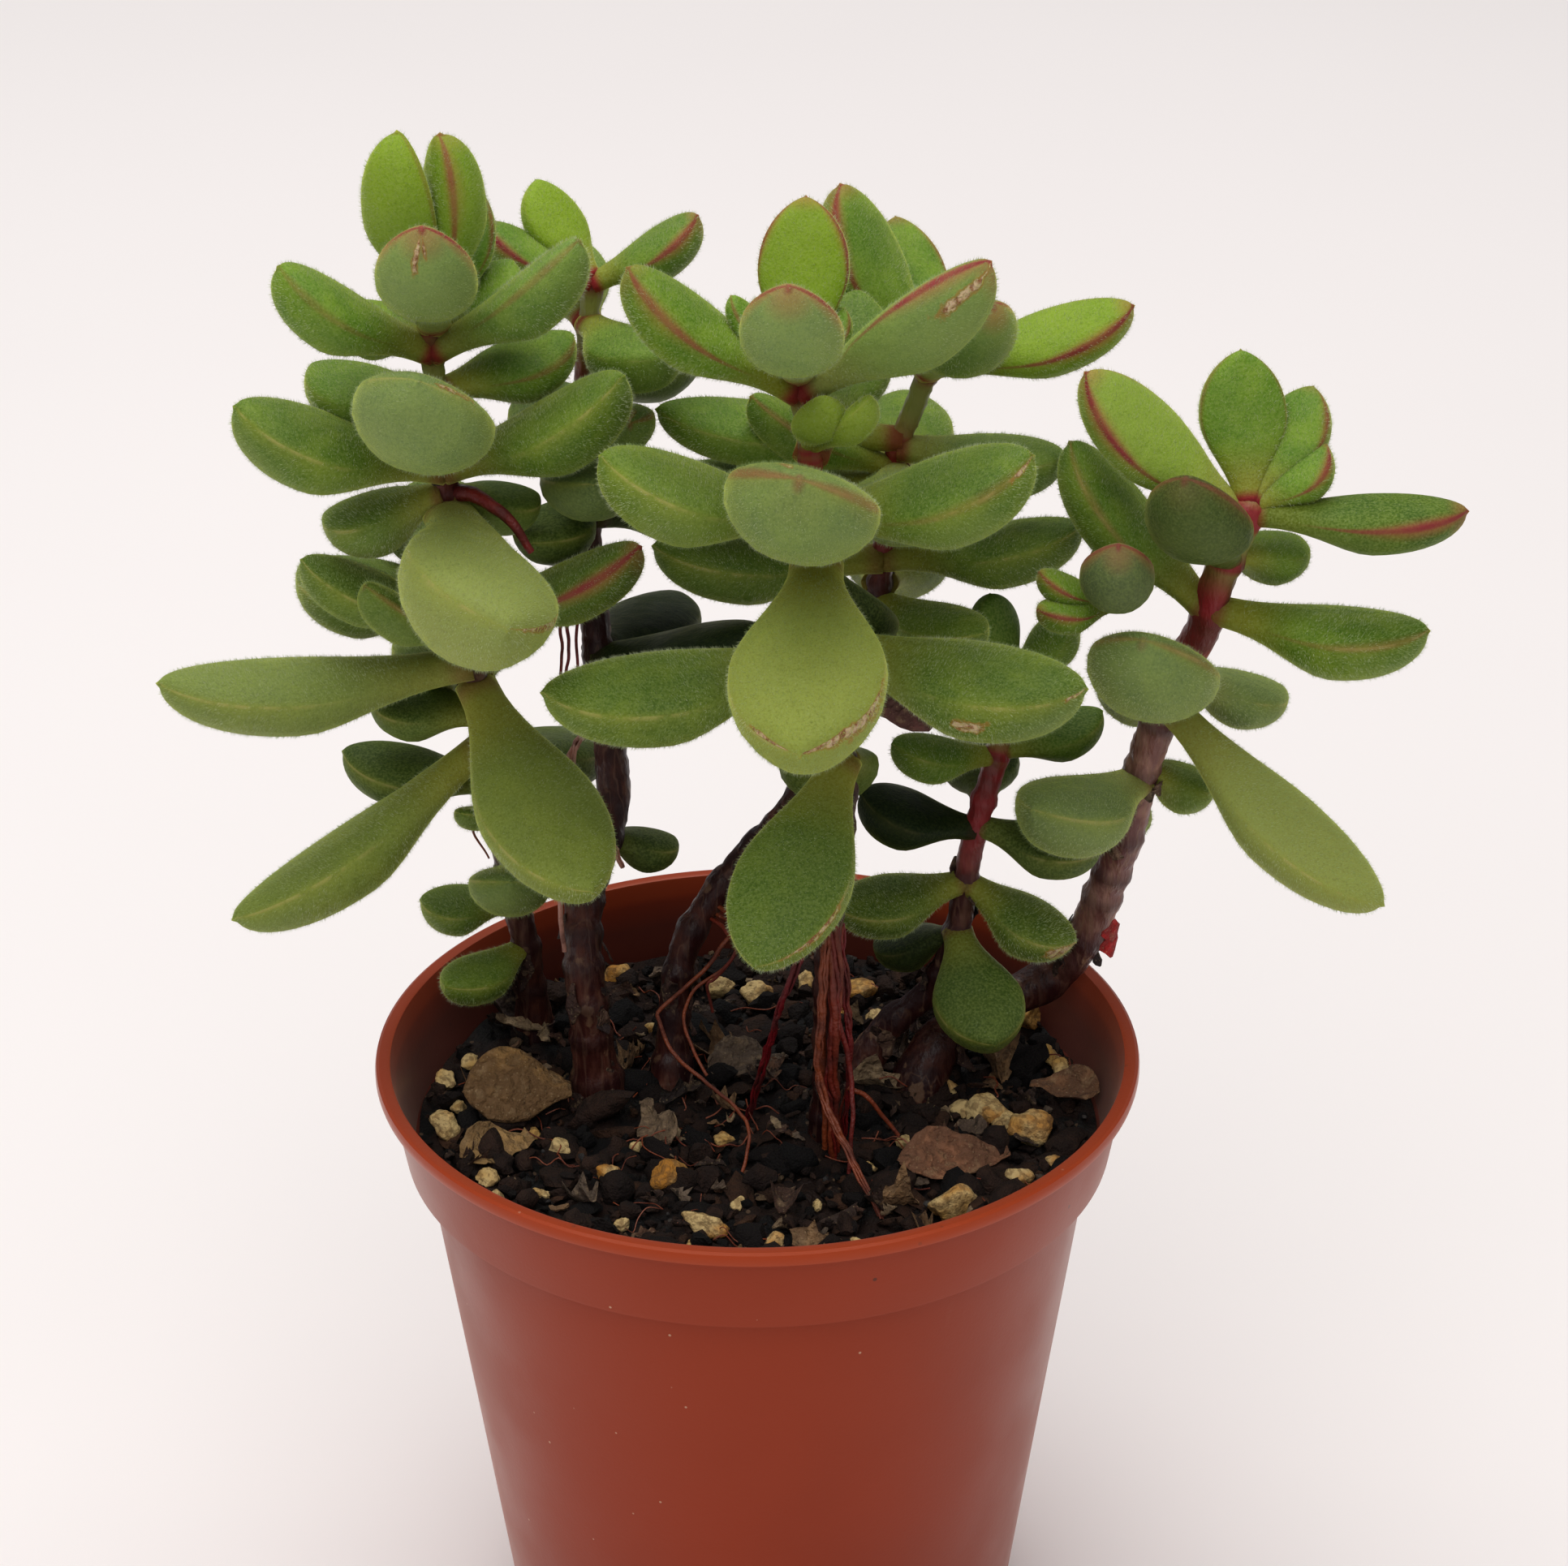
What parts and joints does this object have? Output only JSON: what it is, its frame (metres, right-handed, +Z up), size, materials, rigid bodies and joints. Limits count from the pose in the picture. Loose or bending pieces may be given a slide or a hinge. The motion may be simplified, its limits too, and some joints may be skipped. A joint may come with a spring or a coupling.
{
  "type": "potted crassula rogersii",
  "caption": "Leafy succulent with upright branching stems, fleshy paired leaves and aerial roots, standing in soil in a round tapered plastic nursery pot.",
  "frame": {"origin": "centre of the pot's underside, on the surface that it stands on", "axes": "+Z up along the pot's axis, -Y towards the side that the picture shows, +X to its right"},
  "size_m": [0.1386, 0.085, 0.1798],
  "materials": {
    "pot_plastic": "smooth moulded terracotta-coloured plastic, half gloss",
    "potting_mix": "rough dark peat and bark",
    "plant": "velvety fleshy leaves on purple-brown wood",
    "pumice": "rough cream grains",
    "dry_leaf": "dry wrinkled brown skin"
  },
  "bodies": {
    "root": {"pot": "pot_plastic", "soil": "potting_mix", "stem_left": "plant", "stem_rear_left": "plant", "stem_centre": "plant", "stem_rear_centre": "plant", "stem_right": "plant", "stem_small": "plant", "pumice_1": "pumice", "pumice_2": "pumice", "pumice_3": "pumice", "pumice_4": "pumice", "pumice_5": "pumice", "pumice_6": "pumice", "pumice_7": "pumice", "pumice_8": "pumice", "pumice_9": "pumice", "pumice_10": "pumice", "pumice_11": "pumice", "pumice_12": "pumice", "fallen_leaf_1": "dry_leaf", "fallen_leaf_2": "dry_leaf", "fallen_leaf_3": "dry_leaf", "fallen_leaf_4": "dry_leaf", "fallen_leaf_5": "dry_leaf", "fallen_leaf_6": "dry_leaf"}
  },
  "joints": []
}
